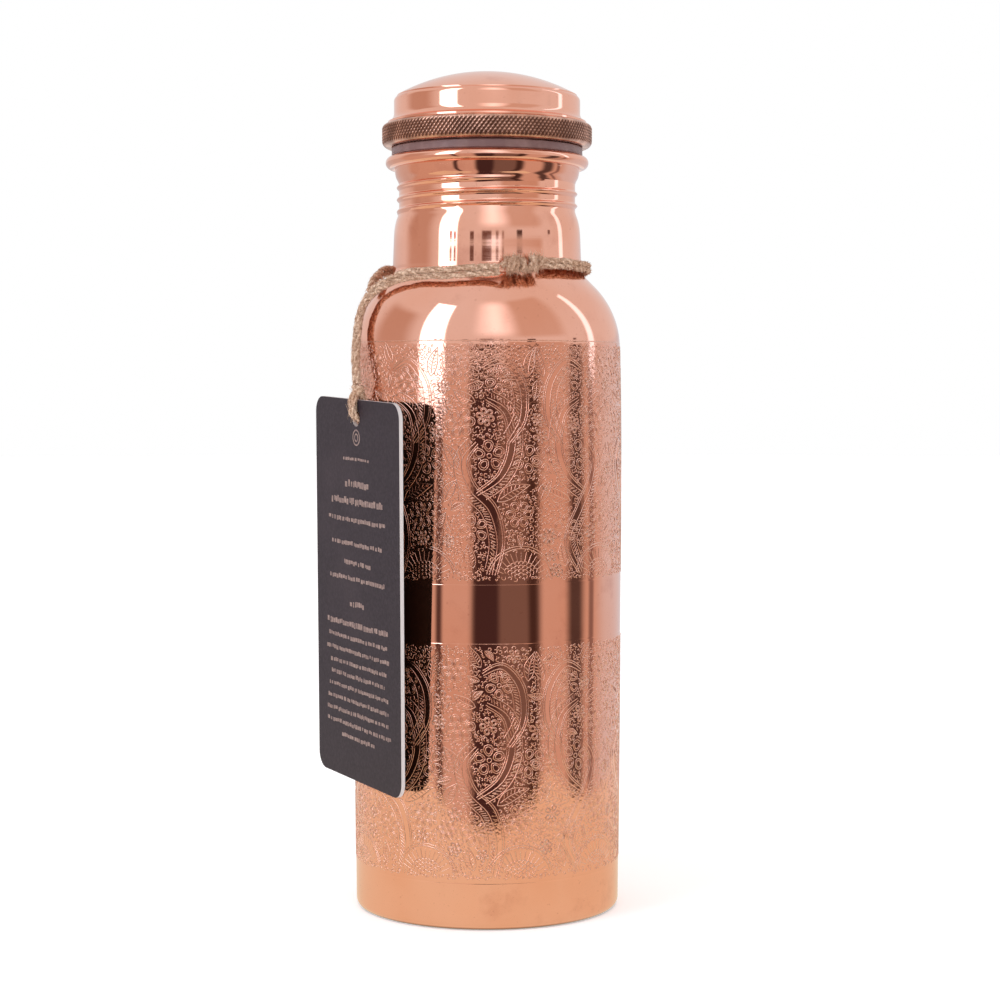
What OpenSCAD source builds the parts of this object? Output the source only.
// Copper water bottle with a screw cap and a hang tag on jute twine.
// Millimetres, +Z up. The origin is the middle of the foot, on the ground plane, and -Y is the front.
// The bottle stands on its foot ring and the cap unscrews about +Z. The tag hangs at the front left.

/* [Bottle] */
// Outside radius of the barrel at its widest, near mid height
belly_r = 38.5; // [37.5:0.1:39.5]
// Height of that widest place
belly_z = 125; // [110:1:135]
// Outside radius of the barrel just above the foot
foot_r = 37.8; // [37:0.1:38.4]
// Radius of the rounded corner under the barrel
foot_corner_r = 2.2; // [1.6:0.1:3]
// Outside radius of the barrel where the shoulder starts
shoulder_start_r = 38.1; // [37.6:0.1:38.4]
// Height where the shoulder starts to curve in
shoulder_z = 160; // [158:0.5:162]
// Radius of the shoulder's curve
shoulder_arc_r = 25; // [24:0.5:26]
// Thickness of the copper sheet
sheet = 0.8; // [0.6:0.1:0.9]
// Depth of the dished underside
dish_depth = 1.6; // [1:0.1:2]
// Radius of the dished underside
dish_r = 31; // [28:0.5:33]

/* [Neck] */
// Outside radius at the root of the neck
neck_root_r = 27; // [26.8:0.1:27.2]
// Radius of the hollow curve between shoulder and neck
neck_fillet_r = 3; // [2:0.5:4]
// Outside radius of the neck between its threads
neck_r = 25.2; // [25.1:0.05:25.3]
// Height of the lip, where the gasket seals
lip_z = 214.65; // [214.4:0.05:214.9]
// Radius of the rolled bead round the lip
bead_r = 1.75; // [1.5:0.05:1.9]
// Outside radius over the bead
lip_r = 29; // [28.8:0.1:29.2]

/* [Thread] */
// Rise of the thread in one turn
pitch = 3.4; // [3:0.1:3.8]
// Height of the middle of the thread's first ridge
thread_z = 199; // [198.8:0.1:199.4]
// Number of turns rolled into the neck
thread_turns = 2.2; // [1.6:0.1:2.3]
// How far the neck's ridges stand out and in
neck_ridge = 0.6; // [0.4:0.05:0.65]
// How far the plug's ridge stands out
plug_ridge = 0.75; // [0.6:0.05:0.8]

/* [Cap] */
// Outside radius of the plug between its threads
plug_r = 23.4; // [23.2:0.05:23.5]
// Height of the plug's closed end when the cap is shut
plug_z = 196.8; // [196:0.1:197]
// Outside radius of the grip ring
grip_r = 30; // [29.6:0.1:30.5]
// Height of the grip ring
grip_h = 6.55; // [6:0.05:7]
// Outside radius of the cap's side wall
cap_r = 26.6; // [26.5:0.05:26.8]
// Height of the top of the dome
dome_z = 238.7; // [238:0.1:240]
// Radius of the dome's curve
dome_arc_r = 53; // [50:1:60]

/* [Gasket] */
// Thickness of the silicone gasket
gasket_h = 2.5; // [2:0.1:3]
// Outside radius of the gasket
gasket_r = 27.3; // [27:0.1:27.6]
// Inside radius of the gasket
gasket_bore_r = 23.7; // [23.65:0.05:24]

/* [Hang tag] */
// Width of the card
tag_w = 53.5; // [50:0.5:62]
// Height of the card
tag_h = 108; // [95:1:110]
// Thickness of the card
tag_t = 1.1; // [0.8:0.1:1.2]
// Radius of the card's corners
tag_corner_r = 4.5; // [2:0.5:8]
// Diameter of the hole for the twine
tag_hole_d = 4.6; // [4.4:0.1:6]
// Distance of the hole's middle below the top edge
tag_hole_drop = 5.2; // [4.6:0.1:6]
// How far round to the left of the front the tag hangs, in degrees
tag_turn = 61; // [55:0.5:70]
// How far the card leans in its own plane, in degrees
tag_lean = 2.5; // [0:0.1:3]
// How far the card's foot comes in towards the barrel, in degrees
tag_tilt = 1.55; // [0:0.05:1.6]
// How far the card hangs to the right of the middle of its own plane
tag_side = 2; // [0:0.5:4]

/* [Twine] */
// Diameter of one strand of twine
strand_d = 1.7; // [1.6:0.1:1.8]
// Diameter over two strands laid together
pair_d = 3.6; // [3.4:0.1:3.6]

/* [Hidden] */
$fn = 96;

// Slack between pieces that turn or slide past each other, and the bite of one solid into another
gap = 0.05;
bite = 0.3;

// Colours
copper = [0.86, 0.50, 0.37];
dark_copper = [0.30, 0.20, 0.16];
silicone = [0.45, 0.36, 0.38];
card_ink = [0.20, 0.17, 0.21];
jute = [0.66, 0.56, 0.43];

// The shoulder's curve ends at 45 degrees and runs on as a straight cone to the neck's root.
// Along that cone, radius plus height stays the same.
shoulder_x = shoulder_start_r - shoulder_arc_r;
shoulder_end_r = shoulder_x + shoulder_arc_r * sin(45);
shoulder_end_z = shoulder_z + shoulder_arc_r * sin(45);
cone_sum = shoulder_end_r + shoulder_end_z;
fillet_x = neck_root_r + neck_fillet_r;
fillet_z = cone_sum + neck_fillet_r * sqrt(2) - fillet_x;

// The straight, threaded stretch of the neck, and the collar that flares from it to the bead
thread_foot_z = thread_z - 0.8;
thread_top_z = thread_z + thread_turns * pitch + 0.8;
collar_r = lip_r - bead_r - 0.85;
bead_x = lip_r - bead_r;
bead_z = lip_z - bead_r;
mouth_r = collar_r - sheet;

// Heights of the closed cap
gasket_z = lip_z + gap;
grip_z = gasket_z + gasket_h + gap;
grip_top_z = grip_z + grip_h;
flange_r = gasket_r - 0.1;
flange_top_z = grip_z + sheet;

// The flare at the foot of the cap's side wall
flare_arc_r = 2.5;
flare_z = grip_top_z + flare_arc_r + 0.6;
flare_end_r = cap_r + 1.7;
dome_edge_r = cap_r - 0.7;
dome_centre_z = dome_z - dome_arc_r;
dome_edge_z = dome_centre_z + sqrt(pow(dome_arc_r, 2) - pow(dome_edge_r, 2));
dome_corner_r = 1.5;

// The tag hangs just clear of the barrel. It swings about the small round knot above the card.
tag_back_y = -41.55;
tag_front_y = tag_back_y - tag_t;
tag_top_z = 145.5;
small_knot_r = 2;
pivot_y = tag_back_y - tag_t / 2;
pivot_z = tag_top_z + small_knot_r + 0.2;
hole_z = tag_top_z - tag_hole_drop;

// ---- Small helpers ----

function unit(v) = v / norm(v);
// A point given as degrees round to the right of the front, radius and height
function around(turn, r, z) = [r * sin(turn), -r * cos(turn), z];
// Direction of a path at its point i
function heading(path, i) =
    unit(path[min(i + 1, len(path) - 1)] - path[max(i - 1, 0)]);
// A smooth curve through four points, at the share t of the stretch between the middle two
function spline(a, b, c, d, t) =
    0.5 * (2 * b + (c - a) * t + (2 * a - 5 * b + 4 * c - d) * t * t + (3 * b - a - 3 * c + d) * t * t * t);
// The smooth curve through a short list of points, with steps points on each stretch
function smooth_path(points, steps) = [
    for (i = [0 : len(points) - 2], s = [0 : steps - 1])
        spline(points[max(i - 1, 0)], points[i], points[i + 1],
               points[min(i + 2, len(points) - 1)], s / steps),
    points[len(points) - 1]];

// A round tube swept along a path. widths gives its radius at each point, and side leans across the path.
module swept_tube(path, widths, side = [0, 0, 1], sides = 10) {
    count = len(path);
    rings = [for (i = [0 : count - 1])
        let (along = heading(path, i), across = unit(cross(along, side)), up = cross(across, along))
        for (k = [0 : sides - 1])
            path[i] + widths[i] * (across * cos(360 * k / sides) + up * sin(360 * k / sides))];
    walls = [for (i = [0 : count - 2], k = [0 : sides - 1])
        let (a = i * sides + k, b = i * sides + (k + 1) % sides)
        each [[a, b, b + sides], [a, b + sides, a + sides]]];
    ends = [[for (k = [sides - 1 : -1 : 0]) k],
            [for (k = [0 : sides - 1]) (count - 1) * sides + k]];
    polyhedron(rings, concat(walls, ends), convexity = 6);
}

// A screw ridge of trapezium section that fades in and out at its ends. It grows by rise from root_r,
// outwards when rise is positive and inwards when it is negative, and bites into the wall behind it.
module screw_ridge(root_r, rise, start_turn, turns, width) {
    steps = 30;
    count = round(turns * steps);
    back = rise > 0 ? -bite : bite;
    rings = [for (i = [0 : count])
        let (turn = start_turn + i / steps, fade = min(1, 0.15 + min(i, count - i) / (steps / 6)),
             z = thread_z + (i / steps) * pitch, crest = root_r + rise * fade)
        for (corner = [[root_r + back, -width / 2], [crest, -width / 5],
                       [crest, width / 5], [root_r + back, width / 2]])
            [corner[0] * cos(360 * turn), corner[0] * sin(360 * turn), z + corner[1]]];
    walls = [for (i = [0 : count - 1], k = [0 : 3])
        let (a = i * 4 + k, b = i * 4 + (k + 1) % 4)
        each (rise > 0 ? [[a, b, b + 4], [a, b + 4, a + 4]] : [[a, b + 4, b], [a, a + 4, b + 4]])];
    last = count * 4;
    ends = rise > 0 ? [[3, 2, 1, 0], [last, last + 1, last + 2, last + 3]]
                    : [[0, 1, 2, 3], [last + 3, last + 2, last + 1, last]];
    polyhedron(rings, concat(walls, ends), convexity = 8);
}

// ---- Bottle ----

// Half of the bottle's outline, drawn in by inset: 0 is the outside and the sheet's thickness the inside
module bottle_outline(inset) {
    corner_x = foot_r - foot_corner_r;
    polygon([[0, inset], [corner_x, inset], [corner_x, foot_corner_r], [foot_r - inset, foot_corner_r],
             [belly_r - inset, belly_z], [shoulder_start_r - inset, shoulder_z], [0, shoulder_z]]);
    translate([corner_x, foot_corner_r]) circle(foot_corner_r - inset);
    // Shoulder, carried a little way in under the cone
    intersection() {
        translate([shoulder_x, shoulder_z]) circle(shoulder_arc_r - inset);
        polygon([[shoulder_x, shoulder_z - 1], [belly_r, shoulder_z - 1],
                 [belly_r, shoulder_z + 1.3 * (belly_r - shoulder_x)], [shoulder_x, shoulder_z]]);
    }
    // Cone and hollow curve up to the neck's root
    slant = inset * sin(45);
    meet = (neck_fillet_r + inset) * sin(45);
    difference() {
        polygon([[0, shoulder_z], [shoulder_x, shoulder_z],
                 [shoulder_end_r - slant, shoulder_end_z - slant],
                 [fillet_x - meet, fillet_z - meet], [fillet_x - meet, fillet_z], [0, fillet_z]]);
        translate([fillet_x, fillet_z]) circle(neck_fillet_r + inset);
    }
    // Neck, from its root to just under the lip
    polygon([[0, fillet_z], [neck_root_r - inset, fillet_z], [neck_root_r - 0.4 - inset, 193.5],
             [neck_root_r - 0.9 - inset, 196.2], [neck_r + 0.3 - inset, thread_foot_z - 0.6],
             [neck_r - inset, thread_foot_z], [neck_r - inset, thread_top_z],
             [neck_r + 0.7 - inset, thread_top_z + 1], [collar_r - inset, bead_z - 1],
             [collar_r - inset, bead_z + 0.3], [0, bead_z + 0.3]]);
}

module bottle_vessel() {
    color(copper) {
        rotate_extrude(convexity = 8)
            difference() {
                union() {
                    bottle_outline(0);
                    translate([bead_x, bead_z]) circle(bead_r);
                    polygon([[mouth_r, bead_z], [bead_x, bead_z], [bead_x, lip_z],
                             [mouth_r + 1, lip_z], [mouth_r, lip_z - 1]]);
                }
                // The hollow inside, above the raised middle of the base
                difference() {
                    bottle_outline(sheet);
                    square([dish_r + sheet, dish_depth + sheet]);
                }
                // The dished underside
                polygon([[0, -1], [dish_r + 1, -1], [dish_r + 1, 0], [dish_r, dish_depth], [0, dish_depth]]);
                // The open mouth
                translate([0, bead_z]) square([mouth_r, lip_z]);
            }
        // The thread is rolled into the sheet: a ridge outside, and one inside half a pitch away
        screw_ridge(neck_r, neck_ridge, 0.5, thread_turns, 2);
        screw_ridge(neck_r - sheet, -neck_ridge, 0, thread_turns, 1.6);
    }
}

// ---- Seal and cap ----

module sealing_gasket() {
    edge = 0.5;
    color(silicone)
        rotate_extrude()
            translate([0, gasket_z]) {
                translate([gasket_bore_r, 0]) square([gasket_r - gasket_bore_r - edge, gasket_h]);
                translate([gasket_r - edge, edge]) circle(edge);
                translate([gasket_r - edge, gasket_h - edge]) circle(edge);
                translate([gasket_r - edge - gap, edge]) square([edge + gap, gasket_h - 2 * edge]);
            }
}

// A cup that closes the mouth. Its ridge runs in the neck's thread and its flange backs the gasket.
module cap_plug() {
    corner = 1.6;
    color(copper) {
        rotate_extrude(convexity = 6)
            difference() {
                union() {
                    translate([0, plug_z + corner]) square([plug_r, grip_z - plug_z - corner]);
                    translate([0, plug_z]) square([plug_r - corner, corner + gap]);
                    translate([plug_r - corner, plug_z + corner]) circle(corner);
                    translate([0, grip_z - gap]) square([plug_r, gap * 2]);
                    translate([0, grip_z]) square([flange_r, sheet]);
                }
                translate([0, plug_z + corner]) square([plug_r - sheet, grip_z - plug_z]);
                translate([0, plug_z + sheet]) square([plug_r - corner, corner]);
                translate([plug_r - corner, plug_z + corner]) circle(corner - sheet);
            }
        screw_ridge(plug_r, plug_ridge, 0.5, thread_turns, 1.6);
    }
}

// Heavy ring that the hand turns. The flange sits in its foot and the dome's flare on its top.
module knurled_grip_ring() {
    top_round = 1.4;
    foot_round = 1.8;
    color(dark_copper)
        rotate_extrude(convexity = 4)
            difference() {
                union() {
                    translate([cap_r - sheet, grip_z])
                        square([grip_r - foot_round - cap_r + sheet, grip_h]);
                    translate([grip_r - foot_round - gap, grip_z + foot_round])
                        square([foot_round + gap, grip_h - foot_round - top_round]);
                    translate([grip_r - foot_round, grip_z + foot_round]) circle(foot_round);
                    translate([grip_r - top_round, grip_top_z - top_round]) circle(top_round);
                }
                translate([0, grip_z - 1]) square([flange_r + gap, 1 + sheet]);
            }
}

module dome_outline(inset) {
    corner_x = cap_r - dome_corner_r;
    square([cap_r - inset, dome_edge_z - dome_corner_r - 0.6]);
    translate([corner_x, dome_edge_z - dome_corner_r - 0.6]) circle(dome_corner_r - inset);
    intersection() {
        translate([0, dome_centre_z]) circle(dome_arc_r - inset);
        translate([0, dome_edge_z - dome_corner_r - 0.6]) square([corner_x + 0.6, 20]);
    }
}

// Spun cap: a shallow dome, a short side wall and a flare that is crimped on the grip ring
module cap_dome() {
    color(copper)
        rotate_extrude(convexity = 6)
            difference() {
                union() {
                    dome_outline(0);
                    difference() {
                        translate([cap_r - sheet, grip_top_z])
                            square([flare_end_r - cap_r + sheet, flare_z - grip_top_z]);
                        translate([cap_r + flare_arc_r, flare_z]) circle(flare_arc_r);
                    }
                }
                dome_outline(sheet);
                square([flare_end_r + 1, grip_top_z]);
            }
}

// ---- Hang tag and twine ----

// Puts a piece drawn at the front of the bottle round where the tag hangs
module at_tag() {
    rotate([0, 0, -tag_turn]) translate([tag_side, 0, 0]) children();
}

// Leans a piece in the card's plane and tilts its foot in, both about the pivot
module leaning() {
    translate([0, pivot_y, pivot_z]) rotate([tag_tilt, 0, 0]) rotate([0, tag_lean, 0])
        translate([0, -pivot_y, -pivot_z]) children();
}

module hang_tag() {
    inner_w = tag_w - 2 * tag_corner_r;
    inner_h = tag_h - 2 * tag_corner_r;
    color(card_ink)
        at_tag() leaning()
            translate([0, tag_back_y, tag_top_z - tag_h / 2]) rotate([90, 0, 0])
                linear_extrude(tag_t)
                    difference() {
                        union() {
                            square([tag_w, inner_h], center = true);
                            square([inner_w, tag_h], center = true);
                            for (x = [-1, 1], y = [-1, 1])
                                translate([x * inner_w / 2, y * inner_h / 2]) circle(tag_corner_r);
                        }
                        translate([0, tag_h / 2 - tag_hole_drop]) circle(d = tag_hole_d);
                    }
}

// Two strands side by side, from a small knot down the card's face, through its hole and up behind it
module twine_tag_loop() {
    strand_r = strand_d / 2;
    front_y = tag_front_y - strand_r - gap;
    back_y = tag_back_y + strand_r + gap;
    color(jute)
        at_tag() leaning() {
            translate([0, pivot_y, pivot_z]) sphere(small_knot_r, $fn = 32);
            for (side = [-1, 1]) {
                x = side * (strand_r + gap / 2);
                path = smooth_path([[x, pivot_y - strand_r - gap, pivot_z - 0.4], [x, front_y, tag_top_z + 0.3],
                                    [x, front_y, hole_z + 1.6], [x, pivot_y - 0.4, hole_z],
                                    [x, pivot_y + 0.4, hole_z], [x, back_y, hole_z + 1.6],
                                    [x, back_y, tag_top_z + 0.3],
                                    [x, pivot_y + strand_r + gap, pivot_z - 0.4]], 5);
                swept_tube(path, [for (point = path) strand_r], [1, 0, 0], 8);
            }
        }
}

// The pair of strands from the knot, round the shoulder and down to the tag. Degrees count to the right.
twine_route = [around(6, 31.8, 181), around(-20, 31.5, 180.4), around(-42, 31.6, 180), around(-57, 33.3, 178.2),
               around(-64.5, 35.5, 175.3), around(-66, 37.9, 171.8), around(-65, 39.8, 166),
               around(-62.5, 41.2, 158), around(-60, 41.9, 153.4), around(-58.3, 42.15, 149.8)];

module twine_drop() {
    path = smooth_path(twine_route, 4);
    color(jute) swept_tube(path, [for (point = path) pair_d / 2], [0.3, 0.9, 0.2]);
}

// The hitch that holds the pair to the loop, at the right of the front
module twine_knot() {
    steps = 12;
    path = [for (i = [0 : steps]) around(6.4 + 26 * i / steps, 30.6, 183.2)];
    widths = [for (i = [0 : steps]) 2.1 + 0.8 * sin(180 * i / steps)];
    color(jute) swept_tube(path, widths, sides = 12);
}

// From the knot round the back of the neck, then down on the left shoulder to the pair that drops to the tag
loop_end = [around(265, 29.3, 182.3), around(277, 31.2, 180.7), around(284, 33.2, 178.9), around(289.5, 35, 176.7)];

module twine_neck_loop() {
    steps = 40;
    loop_r = (pair_d - 0.4) / 2;
    level = [for (i = [0 : steps])
        let (turn = 32.8 + 217.2 * i / steps)
        around(turn, neck_root_r + loop_r + 0.2, 182.9 + 0.4 * cos(turn))];
    path = concat([for (i = [0 : steps - 1]) level[i]], smooth_path(concat([level[steps]], loop_end), 4));
    color(jute) swept_tube(path, [for (point = path) loop_r], sides = 10);
}

bottle_vessel();
sealing_gasket();
cap_plug();
knurled_grip_ring();
cap_dome();
hang_tag();
twine_tag_loop();
twine_drop();
twine_knot();
twine_neck_loop();
